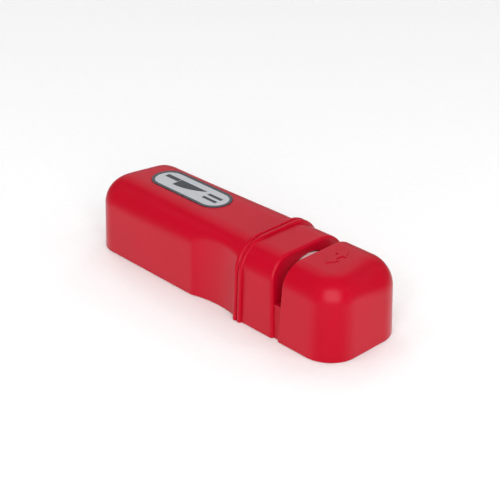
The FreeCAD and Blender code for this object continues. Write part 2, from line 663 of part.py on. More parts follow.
# head: from the slot's front wall to the front end, with the draw arrow
head_slab = slab("head_slab", slot_front_bound, AHEAD)
head_form = common("head_form", form, head_slab)
head_rounded = round_edges("head_rounded", head_form,
                           slot_edge(slot_front_bound, "dims.head_lip_round"))
head_cavity_slab = slab("head_cavity_slab",
                        ("dims.slot_front + dims.slot_wall", "dims.slot_front_lean"),
                        AHEAD)
head_cavity = cut("head_cavity", common("head_space", inner_form, head_cavity_slab),
                  cover_bosses)
arrow = new_body("draw_arrow")
arrow_sketch = new_sketch(arrow, "draw_arrow_plan", "XY_Plane", "dims.form_top - dims.wall / 2")
shaft_low = "dims.arrow_middle - dims.arrow_shaft_half"
shaft_high = "dims.arrow_middle + dims.arrow_shaft_half"
barb_low = "dims.arrow_middle - dims.arrow_barb_half"
barb_high = "dims.arrow_middle + dims.arrow_barb_half"
polygon(arrow_sketch, [
    ("dims.arrow_middle", "-dims.arrow_tip"), (barb_high, "-dims.arrow_barb"),
    (shaft_high, "-dims.arrow_barb"), (shaft_high, "dims.arrow_barb"),
    (barb_high, "dims.arrow_barb"), ("dims.arrow_middle", "dims.arrow_tip"),
    (barb_low, "dims.arrow_barb"), (shaft_low, "dims.arrow_barb"),
    (shaft_low, "-dims.arrow_barb"), (barb_low, "-dims.arrow_barb"),
])
pad(arrow, arrow_sketch, "dims.wall / 2 + dims.arrow_height", name="draw_arrow_pad")
head_outer = fuse("head_outer", head_rounded, arrow)
head_shell = cut("head_shell", head_outer, head_cavity, cover_pilots, wheel_opening,
                 chassis_notch)

# chassis: two side walls, a deck with the wheel window, two saddle walls that carry the axle,
# the bridge under the slot and the tongue that reaches into the handle
half = "dims.chassis_half_width"
inside = f"{half} - dims.chassis_wall"
chassis_block = box("chassis_block", ("dims.chassis_rear", f"-({half})", "dims.chassis_bottom"),
                    ("dims.chassis_front", half, "dims.slot_floor"))
chassis_hollow = box("chassis_hollow", (f"dims.chassis_rear - {MARGIN}", f"-({inside})", "0"),
                     (f"dims.chassis_front + {MARGIN}", inside, DECK_BOTTOM))
wheel_window = box("wheel_window",
                   (f"dims.wheel_middle - ({SADDLE_INNER})", "-dims.window_half_width", "0"),
                   (f"dims.wheel_middle + ({SADDLE_INNER})", "dims.window_half_width", ROOF))
saddles = []
for end, middle in SADDLE_X.items():
    rear_face = f"{middle} - dims.saddle_width / 2"
    front_face = f"{middle} + dims.saddle_width / 2"
    saddles.append(box(f"{end}_saddle_wall", (rear_face, f"-({half})", "dims.chassis_bottom"),
                       (front_face, half, "dims.slot_floor")))
    saddles.append(box(f"{end}_saddle_top", (rear_face, "-dims.saddle_half_width", DECK_BOTTOM),
                       (front_face, "dims.saddle_half_width", "dims.wheel_height")))
base_posts = cylinders("base_posts", SCREWS["front_base_screws"], "dims.chassis_bottom",
                       "dims.slot_floor", "dims.boss_radius")
tongue_block = box("tongue_block",
                   ("dims.tongue_rear", "-dims.tongue_half_width",
                    "dims.slot_floor - dims.tongue_depth"),
                   ("dims.chassis_rear + dims.tongue_overlap", "dims.tongue_half_width",
                    "dims.slot_floor"))
tongue_inside = "dims.tongue_half_width - dims.chassis_wall"
tongue_hollow = box("tongue_hollow", (f"dims.tongue_rear - {MARGIN}", f"-({tongue_inside})", "0"),
                    (f"dims.chassis_rear + {MARGIN}", tongue_inside, DECK_BOTTOM))
chassis_tray = cut("chassis_tray", chassis_block, chassis_hollow)
tongue = cut("tongue", tongue_block, tongue_hollow)
chassis_raw = fuse("chassis_raw", chassis_tray, tongue, base_posts, *saddles)
chassis_room = tapered_form("chassis_room", "dims.wall + dims.plate_gap", LOW,
                            f"dims.wheel_height + {MARGIN}")
chassis_inside = common("chassis_inside", chassis_raw, chassis_room)
bridge_block = tapered_form("bridge", "dims.bridge_inset", LOW, "dims.slot_floor")
bridge_slab = slab("bridge_slab", ("dims.slot_rear + dims.bridge_gap", "-dims.slot_rear_lean"),
                   ("dims.slot_front - dims.bridge_gap", "dims.slot_front_lean"))
bridge_hollow = box("bridge_hollow", (room_rear, f"-({inside})", "0"), (room_front, inside, ROOF))
plate_room = box("plate_room", (room_rear, f"-({half}) - dims.fit_gap", "0"),
                 (room_front, f"{half} + dims.fit_gap", "dims.chassis_bottom"))
bridge = cut("bridge", common("bridge_form", bridge_block, bridge_slab), bridge_hollow,
             plate_room)
axle_groove = level_cylinder("axle_groove", "dims.chassis_rear", "dims.chassis_front",
                             "dims.wheel_height", "dims.axle_radius + dims.seat_gap")
post_pilots = cylinders("post_pilots", SCREWS["front_base_screws"], "0",
                        "dims.chassis_bottom + dims.base_pilot_depth", "dims.screw_pilot")
deck_holes = cylinders("deck_holes", SCREWS["cover_screws"] + SCREWS["handle_joint_screws"],
                       "0", ROOF, "dims.screw_clear")
cap_pilots = cylinders("cap_pilots", SCREWS["axle_cap_screws"],
                       "dims.wheel_height - dims.cap_pilot_depth", ROOF,
                       "dims.screw_pilot * dims.cap_screw_scale")
end_room_radius = "dims.axle_head_radius + dims.axle_end_room"
rear_saddle_end = f"{SADDLE_X['rear']} - dims.saddle_width / 2"
front_saddle_end = f"{SADDLE_X['front']} + dims.saddle_width / 2"
clip_room = level_cylinder("clip_room", f"{rear_saddle_end} - dims.end_room_length",
                           rear_saddle_end, "dims.wheel_height", end_room_radius)
head_room = level_cylinder("head_room", front_saddle_end,
                           f"{front_saddle_end} + dims.end_room_length", "dims.wheel_height",
                           end_room_radius)
wheel_chassis = cut("wheel_chassis", fuse("chassis_whole", chassis_inside, bridge), wheel_window,
                    axle_groove, clip_room, head_room, post_pilots, deck_holes, cap_pilots)


# ---------------------------------------------------------------- wheel set

def from_middle(sign, distance):
    """X at a distance from the bottom of the V, towards the head or the handle."""
    return f"dims.wheel_middle + {sign} * ({distance})"


def ceramic_wheel(name, sign):
    """A bevelled wheel: the bevel faces the other wheel, so that the two make a V."""
    bevel_end = "dims.wheel_gap + dims.wheel_bevel"
    return turned_part(name, [
        (from_middle(sign, "dims.wheel_gap"), "dims.hub_radius"),
        (from_middle(sign, "dims.wheel_gap"), "dims.wheel_tip_radius"),
        (from_middle(sign, bevel_end), "dims.wheel_radius"),
        (from_middle(sign, f"{WHEEL_BACK} - dims.wheel_edge"), "dims.wheel_radius"),
        (from_middle(sign, WHEEL_BACK), "dims.wheel_radius - dims.wheel_edge"),
        (from_middle(sign, WHEEL_BACK), "dims.hub_radius"),
    ])


def wheel_hub(name, sign):
    """A hub sleeve with a flange behind the wheel and a nose that runs on the thrust washer."""
    inner_end = "dims.centre_washer_half + dims.axial_play"
    flange_back = f"{WHEEL_BACK} + dims.hub_flange"
    bore = "dims.axle_radius + dims.hub_clearance"
    return turned_part(name, [
        (from_middle(sign, inner_end), bore),
        (from_middle(sign, inner_end), "dims.hub_radius"),
        (from_middle(sign, WHEEL_BACK), "dims.hub_radius"),
        (from_middle(sign, WHEEL_BACK), "dims.hub_flange_radius"),
        (from_middle(sign, flange_back), "dims.hub_flange_radius"),
        (from_middle(sign, flange_back), "dims.hub_nose_radius"),
        (from_middle(sign, f"{flange_back} + dims.hub_nose"), "dims.hub_nose_radius"),
        (from_middle(sign, f"{flange_back} + dims.hub_nose"), bore),
    ])


def washer(name, start, end, radius):
    """A flat ring on the axle."""
    bore = "dims.axle_radius + dims.hub_clearance"
    return turned_part(name, [(start, bore), (start, radius), (end, radius), (end, bore)])


washer_near = f"{SADDLE_INNER} - dims.axial_play - dims.washer_thickness"
washer_back = f"{SADDLE_INNER} - dims.axial_play"
wheel_set = [washer("centre_washer", from_middle(-1, "dims.centre_washer_half"),
                    from_middle(1, "dims.centre_washer_half"), "dims.centre_washer_radius")]
for end, sign in (("rear", -1), ("front", 1)):
    wheel_set.append(ceramic_wheel(f"{end}_ceramic_wheel", sign))
    wheel_set.append(wheel_hub(f"{end}_wheel_hub", sign))
    wheel_set.append(washer(f"{end}_thrust_washer", from_middle(sign, washer_near),
                            from_middle(sign, washer_back), "dims.washer_radius"))

# axle: a headed pin with a clip groove at its rear end
saddle_outer = f"{SADDLE_INNER} + dims.saddle_width + dims.axial_play"
clip_front = from_middle(-1, saddle_outer)
clip_rear = f"{clip_front} - dims.clip_thickness"
head_rear = from_middle(1, saddle_outer)
axle_rear = f"{clip_rear} - dims.axle_end"
wheel_axle = turned_part("wheel_axle", [
    (axle_rear, "0"),
    (axle_rear, "dims.axle_radius - dims.wheel_edge"),
    (f"{axle_rear} + dims.wheel_edge", "dims.axle_radius"),
    (clip_rear, "dims.axle_radius"),
    (clip_rear, "dims.clip_groove_radius"),
    (clip_front, "dims.clip_groove_radius"),
    (clip_front, "dims.axle_radius"),
    (head_rear, "dims.axle_radius"),
    (head_rear, "dims.axle_head_radius"),
    (f"{head_rear} + dims.axle_head - dims.wheel_edge", "dims.axle_head_radius"),
    (f"{head_rear} + dims.axle_head", "dims.axle_head_radius - dims.wheel_edge"),
    (f"{head_rear} + dims.axle_head", "0"),
])
clip_disc = level_cylinder("clip_disc", f"{clip_rear} + dims.clip_gap",
                           f"{clip_front} - dims.clip_gap", "dims.wheel_height",
                           "dims.clip_radius")
clip_bore = level_cylinder("clip_bore", clip_rear, clip_front, "dims.wheel_height",
                           "dims.clip_groove_radius + dims.clip_gap")
clip_mouth = box("clip_mouth", (clip_rear, "-dims.clip_groove_radius", "0"),
                 (clip_front, "dims.clip_groove_radius", "dims.wheel_height"))
axle_clip = cut("axle_clip", clip_disc, clip_bore, clip_mouth)

# axle caps: humped blocks over the saddles
axle_caps = []
for end, middle in SADDLE_X.items():
    cap = new_body(f"{end}_cap_block")
    cap_sketch = new_sketch(cap, f"{end}_cap_section", "YZ_Plane",
                            f"{middle} - dims.saddle_width / 2")
    polygon(cap_sketch, [
        ("-dims.saddle_half_width", "dims.wheel_height"),
        ("dims.saddle_half_width", "dims.wheel_height"),
        ("dims.saddle_half_width", "dims.cap_seat"), ("dims.cap_hump_half", "dims.cap_seat"),
        ("dims.cap_hump_half - dims.cap_hump_taper", "dims.cap_top"),
        ("dims.cap_hump_taper - dims.cap_hump_half", "dims.cap_top"),
        ("-dims.cap_hump_half", "dims.cap_seat"), ("-dims.saddle_half_width", "dims.cap_seat"),
    ])
    pad(cap, cap_sketch, "dims.saddle_width", name=f"{end}_cap_pad")
    cap_holes = cylinders(f"{end}_cap_holes", SCREWS["axle_cap_screws"],
                          f"dims.wheel_height - {MARGIN}", ROOF,
                          "dims.screw_clear * dims.cap_screw_scale")
    axle_caps.append(cut(f"{end}_axle_cap", cap, cap_holes, axle_groove))


# ---------------------------------------------------------------- base plates and feet

FEET = {"rear": "dims.rear_foot", "front": "dims.front_foot"}


def base_plate(name, region, screws, *extra):
    """A plate that closes a shell from below, with counterbored holes and foot recesses."""
    block = tapered_form(name + "_form", "dims.wall + dims.plate_gap", "dims.plate_bottom",
                         "dims.plate_top")
    holes = cylinders(name + "_holes", SCREWS[screws], "0", ROOF, "dims.screw_clear")
    seats = cylinders(name + "_seats", SCREWS[screws], "0",
                      "dims.plate_bottom + dims.screw_head + dims.fit_gap",
                      "dims.screw_head_radius + dims.fit_gap")
    recesses = cylinders(name + "_recesses", pairs(FEET.values(), "dims.foot_side"), "0",
                         "dims.plate_bottom + dims.foot_recess",
                         "dims.foot_radius + dims.fit_gap")
    return cut(name, common(name + "_blank", block, region), holes, seats, recesses, *extra)


handle_plate_slab = slab("handle_plate_slab", BEHIND,
                         (f"{end_wall} - dims.plate_gap", "0"))
handle_base_plate = base_plate("handle_base_plate", handle_plate_slab, "handle_base_screws",
                               scallop_cutter("plate_scallops", "dims.wall + dims.plate_gap"))
front_plate_slab = slab("front_plate_slab", ("dims.collar_split + dims.plate_gap", "0"),
                        AHEAD)
slot_notches = [box(f"plate_notch_{side}",
                    ("dims.slot_rear - dims.slot_wall - dims.plate_notch_gap",
                     f"{sign} * ({half}) + ({sign} - 1) * {MARGIN}", "0"),
                    ("dims.slot_front + dims.slot_wall + dims.plate_notch_gap",
                     f"{sign} * ({half}) + ({sign} + 1) * {MARGIN}", ROOF))
                for side, sign in SIDES.items()]
dust_well = box("dust_well", ("dims.wheel_middle - dims.well_half_length",
                              "-dims.well_half_width", "dims.plate_top - dims.well_depth"),
                ("dims.wheel_middle + dims.well_half_length", "dims.well_half_width", ROOF))
front_base_plate = base_plate("front_base_plate", front_plate_slab, "front_base_screws",
                              *slot_notches, dust_well)


def foot_pad(name, across, side):
    """A round rubber foot with a softened lower edge."""
    body = new_body(name)
    sketch = new_sketch(body, name + "_outline", "XY_Plane")
    circle(sketch, "rim", across, side, "dims.foot_radius")
    feature = pad(body, sketch, "dims.foot_height", name=name + "_pad")
    doc.recompute()
    lower = [f"Edge{index}" for index, edge in enumerate(feature.Shape.Edges, start=1)
             if edge.BoundBox.ZMax < TINY]
    rounding = body.newObject("PartDesign::Fillet", name + "_rounding")
    rounding.Base = (feature, lower)
    rounding.setExpression("Radius", "dims.foot_round")
    return body


feet = [foot_pad(f"foot_pad_{end}_{side}", across, f"{sign} * dims.foot_side")
        for end, across in FEET.items() for side, sign in SIDES.items()]


# ---------------------------------------------------------------- screws

def screw_body(name, scale):
    """A pan-head screw with a cross recess, its seat at the origin and its shank along +Z."""
    body = new_body(name)
    sketch = new_sketch(body, name + "_section", "XZ_Plane")
    head, shank = f"dims.screw_head_radius * {scale}", f"dims.screw_radius * {scale}"
    top, length = f"-dims.screw_head * {scale}", "dims.screw_length"
    polygon(sketch, [
        ("0", top), (f"({head}) * dims.screw_face", top), (head, f"({top}) / 2"), (head, "0"), (shank, "0"),
        (shank, f"{length} - ({shank})"), ("0", length),
    ])
    feature = body.newObject("PartDesign::Revolution", name + "_turn")
    feature.Profile = sketch
    feature.ReferenceAxis = (sketch, ["V_Axis"])
    feature.Angle = 360.0
    doc.recompute()
    solid = feature.Shape.Volume
    cross = new_sketch(body, name + "_cross", "XY_Plane", top)
    long, short = f"({head}) * dims.cross_reach", f"({head}) * dims.cross_half_width"
    polygon(cross, [
        (f"-({long})", f"-({short})"), (f"-({short})", f"-({short})"),
        (f"-({short})", f"-({long})"), (short, f"-({long})"), (short, f"-({short})"),
        (long, f"-({short})"), (long, short), (short, short), (short, long),
        (f"-({short})", long), (f"-({short})", short), (f"-({long})", short),
    ])
    pocket = body.newObject("PartDesign::Pocket", name + "_recess")
    pocket.Profile = cross
    pocket.setExpression("Length", "dims.screw_recess_depth")
    pocket.Reversed = True
    doc.recompute()
    if pocket.Shape.Volume >= solid:
        raise RuntimeError("the cross recess cut nothing")
    return body


def screw_group(name, pattern, seat, head_up=False):
    """Copies of one screw at the group's places, as separate solids of one node."""
    turn = FreeCAD.Rotation(AXIS_X, 180 if head_up else 0)
    copies = []
    for across, side in SCREWS[name]:
        copy = pattern.Shape.copy()
        copy.Placement = FreeCAD.Placement(vector(across, side, seat), turn)
        copies.append(copy)
    item = doc.addObject("Part::Feature", name)
    item.Label = name
    item.Shape = Part.makeCompound(copies)
    item.Placement = FreeCAD.Placement()
    return item


plate_screw = screw_body("plate_screw", "1")
cap_screw = screw_body("cap_screw", "dims.cap_screw_scale")
plate_seat = "dims.plate_bottom + dims.screw_head + dims.fit_gap"
screws = [
    screw_group("handle_base_screws", plate_screw, plate_seat),
    screw_group("front_base_screws", plate_screw, plate_seat),
    screw_group("cover_screws", plate_screw, DECK_BOTTOM),
    screw_group("handle_joint_screws", plate_screw, DECK_BOTTOM),
    screw_group("axle_cap_screws", cap_screw, "dims.cap_seat", head_up=True),
]


# ---------------------------------------------------------------- badge

def flat_stadium(name, low, high, length, width):
    """A flat plate with round ends on the badge's middle."""
    body = new_body(name)
    sketch = new_sketch(body, name + "_outline", "XY_Plane", low)
    stadium(sketch, "dims.badge_middle", length, width)
    pad(body, sketch, f"{high} - ({low})", name=name + "_pad")
    return body


seat_height = "dims.form_top - dims.badge_seat"
inner_length = "dims.badge_length - dims.badge_border * 2"
inner_width = "dims.badge_width - dims.badge_border * 2"
bezel_blank = flat_stadium("bezel_blank", seat_height, "dims.form_top + dims.bezel_proud",
                           "dims.badge_length", "dims.badge_width")
bezel_hole = flat_stadium("bezel_hole", f"{seat_height} - {MARGIN}", f"dims.form_top + {MARGIN}",
                          inner_length, inner_width)
badge_bezel = cut("badge_bezel", bezel_blank, bezel_hole)
badge_plate = flat_stadium("badge_plate", seat_height, "dims.form_top + dims.plate_proud",
                           f"{inner_length} - dims.fit_gap", f"{inner_width} - dims.fit_gap")

# emblem: a plain knife outline and two bars
emblem_low = "dims.form_top + dims.plate_proud"
emblem_high = f"{emblem_low} + dims.emblem_height"
heel = "dims.badge_middle + dims.knife_split"
blade_length = "(dims.knife_tip - dims.knife_split)"
belly_radius = f"({blade_length}^2 / (4 * dims.knife_half) + dims.knife_half)"
blade_block = box("blade_block", (heel, "-dims.knife_half", emblem_low),
                  ("dims.badge_middle + dims.knife_tip", "dims.knife_half", emblem_high))
blade_belly = upright_cylinder("blade_belly", (heel, f"{belly_radius} - dims.knife_half"),
                               f"{emblem_low} - {MARGIN}", f"{emblem_high} + {MARGIN}",
                               belly_radius)
emblem_parts = [
    common("emblem_blade", blade_block, blade_belly),
    box("emblem_grip", (f"{heel} - dims.knife_grip", "dims.knife_gap", emblem_low),
        (f"{heel} - dims.knife_gap", "dims.knife_half", emblem_high)),
]
for bar in ("near_bar", "far_bar"):
    emblem_parts.append(box(f"emblem_{bar}",
                            ("dims.badge_middle + dims.bars_start", f"dims.{bar}", emblem_low),
                            ("dims.badge_middle + dims.bars_end", f"dims.{bar} + dims.bar_width",
                             emblem_high)))
badge_emblem = doc.addObject("Part::Compound", "badge_emblem")
badge_emblem.Links = emblem_parts
badge_emblem.Label = "badge_emblem"

# ---------------------------------------------------------------- check and write

NODES = [handle_shell, mid_shell, head_shell, wheel_chassis, handle_base_plate,
         front_base_plate, wheel_axle, axle_clip, badge_bezel, badge_plate, badge_emblem]
NODES += wheel_set + axle_caps + feet + screws

doc.recompute()
for item in doc.Objects:
    if "Invalid" in item.State or "Error" in item.State:
        raise RuntimeError(f"{item.Name} failed: {item.State}")
for node in NODES:
    if node.Shape.isNull() or not node.Shape.isValid():
        raise RuntimeError(f"{node.Label} has no valid shape")

os.makedirs("parts", exist_ok=True)
for node in NODES:
    node.Shape.exportStep(f"parts/{node.Label}.step")
    print(f"{node.Label}: {len(node.Shape.Solids)} solids, {node.Shape.Volume:.1f} mm3")
print(f"{len(NODES)} nodes")
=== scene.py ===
import math

import bpy
from mathutils import Matrix, Vector

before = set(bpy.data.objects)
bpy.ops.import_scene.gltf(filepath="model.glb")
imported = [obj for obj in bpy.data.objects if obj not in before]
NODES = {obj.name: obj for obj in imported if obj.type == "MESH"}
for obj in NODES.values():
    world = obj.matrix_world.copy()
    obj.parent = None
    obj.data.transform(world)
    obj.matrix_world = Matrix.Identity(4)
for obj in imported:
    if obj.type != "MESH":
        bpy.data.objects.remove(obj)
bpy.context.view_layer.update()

# A hand-held pull-through sharpener with ceramic wheels. Metres, +X to the head, +Z up.

MM = 0.001
scene = bpy.context.scene


# ---------------------------------------------------------------- camera

CAMERA_AZIMUTH = 46.01
CAMERA_ELEVATION = 28.05
CAMERA_ROLL = 0.26
CAMERA_DISTANCE = 537.8 * MM
CAMERA_AIM = Vector((7.67, -2.25, 20.26)) * MM
SENSOR_WIDTH = 36.0    # millimetres, as the lens
LENS = 92.69
CLIP_NEAR = 10 * MM
CLIP_FAR = 20.0
RIGHT_ANGLE = 90.0


def direction(azimuth, elevation):
    """Unit vector from two angles in degrees; azimuth 0 is -Y and 90 is +X."""
    turn, lift = math.radians(azimuth), math.radians(elevation)
    return Vector((math.sin(turn) * math.cos(lift), -math.cos(turn) * math.cos(lift),
                   math.sin(lift)))


def make_camera():
    """A camera in front of the near side and the head, looking a little down."""
    roll = math.radians(CAMERA_ROLL)
    right = direction(CAMERA_AZIMUTH + RIGHT_ANGLE, 0.0)
    back = direction(CAMERA_AZIMUTH, CAMERA_ELEVATION)
    up = back.cross(right)
    across = right * math.cos(roll) + up * math.sin(roll)
    upward = up * math.cos(roll) - right * math.sin(roll)
    data = bpy.data.cameras.new("camera")
    data.sensor_width = SENSOR_WIDTH
    data.lens = LENS
    data.clip_start = CLIP_NEAR
    data.clip_end = CLIP_FAR
    camera = bpy.data.objects.new("camera", data)
    scene.collection.objects.link(camera)
    turn = Matrix((across, upward, back)).transposed().to_4x4()
    camera.matrix_world = Matrix.Translation(CAMERA_AIM + back * CAMERA_DISTANCE) @ turn
    scene.camera = camera


# ---------------------------------------------------------------- node helpers

BEVEL_SAMPLES = 6
EDGE_COSINES = (0.80, 0.995)    # between true and rounded normal: a full edge, and none


class Shader:
    """A small wrapper that adds nodes to one material and links them."""

    def __init__(self, name):
        self.material = bpy.data.materials.new(name)
        self.material.use_nodes = True
        self.tree = self.material.node_tree
        self.tree.nodes.clear()
        self.surface = self.add("ShaderNodeBsdfPrincipled")
        output = self.add("ShaderNodeOutputMaterial")
        self.link(self.surface.outputs["BSDF"], output.inputs["Surface"])
        self.place = self.add("ShaderNodeTexCoord").outputs["Object"]

    def add(self, kind, **settings):
        node = self.tree.nodes.new(kind)
        for key, value in settings.items():
            setattr(node, key, value)
        return node

    def link(self, source, target):
        self.tree.links.new(source, target)

    def put(self, socket, value):
        """Links a socket to another one, or sets its plain value."""
        if isinstance(value, bpy.types.NodeSocket):
            self.link(value, socket)
        else:
            socket.default_value = value

    def set(self, **values):
        """Plain values or links for the shader's own sockets; an underscore stands for a space."""
        for key, value in values.items():
            self.put(self.surface.inputs[key.replace("_", " ")], value)

    def stretched(self, x, y, z):
        """The object coordinates scaled along each axis, for streaks."""
        node = self.add("ShaderNodeMapping")
        self.link(self.place, node.inputs["Vector"])
        node.inputs["Scale"].default_value = (x, y, z)
        return node.outputs["Vector"]

    def noise(self, size, detail=3.0, rough=0.5, where=None):
        """Noise whose features are about size metres across, from 0 to 1."""
        node = self.add("ShaderNodeTexNoise")
        self.link(where or self.place, node.inputs["Vector"])
        node.inputs["Scale"].default_value = 1.0 / size
        node.inputs["Detail"].default_value = detail
        node.inputs["Roughness"].default_value = rough
        return node.outputs["Fac"]

    def cells(self, size, output="Distance"):
        """Voronoi cells about size metres across."""
        node = self.add("ShaderNodeTexVoronoi")
        self.link(self.place, node.inputs["Vector"])
        node.inputs["Scale"].default_value = 1.0 / size
        return node.outputs[output]

    def span(self, value, low, high, out_low=0.0, out_high=1.0):
        """Maps low..high to out_low..out_high, held at the ends, with a smooth course."""
        node = self.add("ShaderNodeMapRange", interpolation_type="SMOOTHSTEP")
        self.put(node.inputs["Value"], value)
        node.inputs["From Min"].default_value = low
        node.inputs["From Max"].default_value = high
        node.inputs["To Min"].default_value = out_low
        node.inputs["To Max"].default_value = out_high
        return node.outputs["Result"]

    def math(self, operation, first, second):
        """One sum or product of two values."""
        node = self.add("ShaderNodeMath", operation=operation)
        self.put(node.inputs[0], first)
        self.put(node.inputs[1], second)
        return node.outputs["Value"]

    def mix(self, share, first, second):
        """Mixes two colours by a share."""
        node = self.add("ShaderNodeMix", data_type="RGBA")
        self.put(node.inputs["Factor"], share)
        self.put(node.inputs["A"], first)
        self.put(node.inputs["B"], second)
        return node.outputs["Result"]

    def soft_normal(self, radius):
        """The surface normal with its edges rounded over by a radius."""
        node = self.add("ShaderNodeBevel", samples=BEVEL_SAMPLES)
        node.inputs["Radius"].default_value = radius
        return node.outputs["Normal"]

    def edges(self, radius):
        """A mask that is 1 at the edges and 0 on smooth surfaces."""
        node = self.add("ShaderNodeVectorMath", operation="DOT_PRODUCT")
        self.link(self.soft_normal(radius), node.inputs[0])
        self.link(self.add("ShaderNodeNewGeometry").outputs["Normal"], node.inputs[1])
        return self.span(node.outputs["Value"], *EDGE_COSINES, 1.0, 0.0)

    def bump(self, height, depth, normal=None):
        """A bump of a real depth in metres."""
        node = self.add("ShaderNodeBump")
        node.inputs["Strength"].default_value = 1.0
        node.inputs["Distance"].default_value = depth
        self.put(node.inputs["Height"], height)
        if normal is not None:
            self.link(normal, node.inputs["Normal"])
        return node.outputs["Normal"]


def rgb(red, green, blue):
    """A colour from 8-bit display values."""
    return tuple(((v / 255 + 0.055) / 1.055) ** 2.4 if v > 10 else v / 255 / 12.92
                 for v in (red, green, blue)) + (1.0,)


# ---------------------------------------------------------------- materials

PLASTIC_EDGE = 0.25 * MM
PLASTIC_RIPPLE = 0.02 * MM


def moulded_plastic(name, colour, deep, worn, roughness, grain=0.35 * MM, depth=0.0015 * MM):
    """Satin moulded plastic: fine tool texture, slow colour drift, handling shine, pale edges."""
    shader = Shader(name)
    drift = shader.noise(28 * MM, detail=2.0)
    cloud = shader.noise(4 * MM, detail=4.0, rough=0.6)
    tint = shader.mix(shader.span(drift, 0.3, 0.7), colour, deep)
    wear = shader.math("MULTIPLY", shader.edges(PLASTIC_EDGE),
                       shader.span(cloud, 0.35, 0.65, 0.25, 1.0))
    tint = shader.mix(shader.math("MULTIPLY", wear, 0.35), tint, worn)
    handled = shader.noise(7 * MM, detail=1.0)
    rough = shader.span(handled, 0.3, 0.75, roughness - 0.02, roughness + 0.03)
    fine = shader.noise(grain, detail=2.0, rough=0.55)
    ripple = shader.noise(9 * MM, detail=1.0)
    normal = shader.bump(ripple, PLASTIC_RIPPLE, shader.soft_normal(PLASTIC_EDGE))
    normal = shader.bump(fine, depth, normal)
    shader.set(Base_Color=tint, Roughness=rough, Normal=normal, IOR=1.49,
               Specular_IOR_Level=0.25)
    return shader.material


def ceramic(name):
    """Sintered abrasive ceramic: white with grey grains and faint metal traces, tinted with painted
    red bounce light.
    """
    shader = Shader(name)
    grains = shader.cells(0.22 * MM, output="Color")
    split = shader.add("ShaderNodeSeparateColor")
    shader.link(grains, split.inputs["Color"])
    cloud = shader.noise(3 * MM, detail=4.0)
    # the pink in these whites is painted red bounce light from the red walls around the wheel; the
    # ceramic itself is white
    body = shader.mix(shader.span(split.outputs["Red"], 0.2, 1.0), rgb(240, 212, 212),
                      rgb(228, 192, 194))
    body = shader.mix(shader.span(cloud, 0.45, 0.8, 0.0, 0.5), body, rgb(228, 205, 200))
    trace = shader.span(shader.noise(1.2 * MM, detail=5.0), 0.58, 0.8, 0.0, 0.35)
    body = shader.mix(trace, body, rgb(176, 160, 160))
    pits = shader.cells(0.3 * MM)
    normal = shader.bump(pits, 0.03 * MM, shader.soft_normal(0.12 * MM))
    rough = shader.span(cloud, 0.2, 0.8, 0.5, 0.66)
    shader.set(Base_Color=body, Roughness=rough, Normal=normal, IOR=1.6)
    return shader.material


def ground_steel(name, colour, dull, roughness, streak=(900.0, 60.0, 60.0)):
    """Turned or ground metal with fine marks and a slightly cloudy finish."""
    shader = Shader(name)
    marks = shader.noise(1.0, detail=4.0, where=shader.stretched(*streak))
    cloud = shader.noise(1.6 * MM, detail=3.0)
    tint = shader.mix(shader.span(cloud, 0.3, 0.75), colour, dull)
    rough = shader.span(marks, 0.25, 0.75, roughness - 0.06, roughness + 0.1)
    normal = shader.bump(marks, 0.003 * MM, shader.soft_normal(0.08 * MM))
    shader.set(Base_Color=tint, Metallic=1.0, Roughness=rough, Normal=normal)
    return shader.material


def brushed_face(name):
    """The badge's silver-grey face: fine brushing along the tool under a thin lacquer."""
    shader = Shader(name)
    strokes = shader.noise(1.0, detail=5.0, where=shader.stretched(140.0, 6500.0, 6500.0))
    cloud = shader.noise(7 * MM, detail=2.0)
    tint = shader.mix(shader.span(strokes, 0.25, 0.8), rgb(192, 194, 199), rgb(212, 214, 218))
    tint = shader.mix(shader.span(cloud, 0.4, 0.8, 0.0, 0.4), tint, rgb(200, 203, 208))
    rough = shader.span(strokes, 0.2, 0.8, 0.34, 0.5)
    normal = shader.bump(strokes, 0.003 * MM, shader.soft_normal(0.1 * MM))
    shader.set(Base_Color=tint, Metallic=0.35, Roughness=rough, Normal=normal, IOR=1.5)
    return shader.material


def lacquer(name, colour, lighter, roughness):
    """Dark satin lacquer or printed enamel with a slightly uneven film."""
    shader = Shader(name)
    cloud = shader.noise(2.5 * MM, detail=4.0)
    film = shader.noise(0.5 * MM, detail=2.0)
    tint = shader.mix(shader.math("MULTIPLY", shader.edges(0.12 * MM), 0.45),
                      shader.mix(shader.span(cloud, 0.3, 0.8), colour, lighter),
                      rgb(120, 124, 128))
    rough = shader.span(cloud, 0.3, 0.7, roughness - 0.04, roughness + 0.06)
    normal = shader.bump(film, 0.002 * MM, shader.soft_normal(0.15 * MM))
    shader.set(Base_Color=tint, Roughness=rough, Normal=normal, IOR=1.5)
    return shader.material


def rubber(name):
    """Matt black rubber with a dusty bloom."""
    shader = Shader(name)
    cloud = shader.noise(2 * MM, detail=5.0, rough=0.65)
    tint = shader.mix(shader.span(cloud, 0.35, 0.8), rgb(38, 38, 39), rgb(62, 61, 60))
    grain = shader.noise(0.18 * MM, detail=2.0)
    rough = shader.span(cloud, 0.3, 0.7, 0.68, 0.85)
    normal = shader.bump(grain, 0.02 * MM, shader.soft_normal(0.15 * MM))
    shader.set(Base_Color=tint, Roughness=rough, Normal=normal, IOR=1.5)
    return shader.material


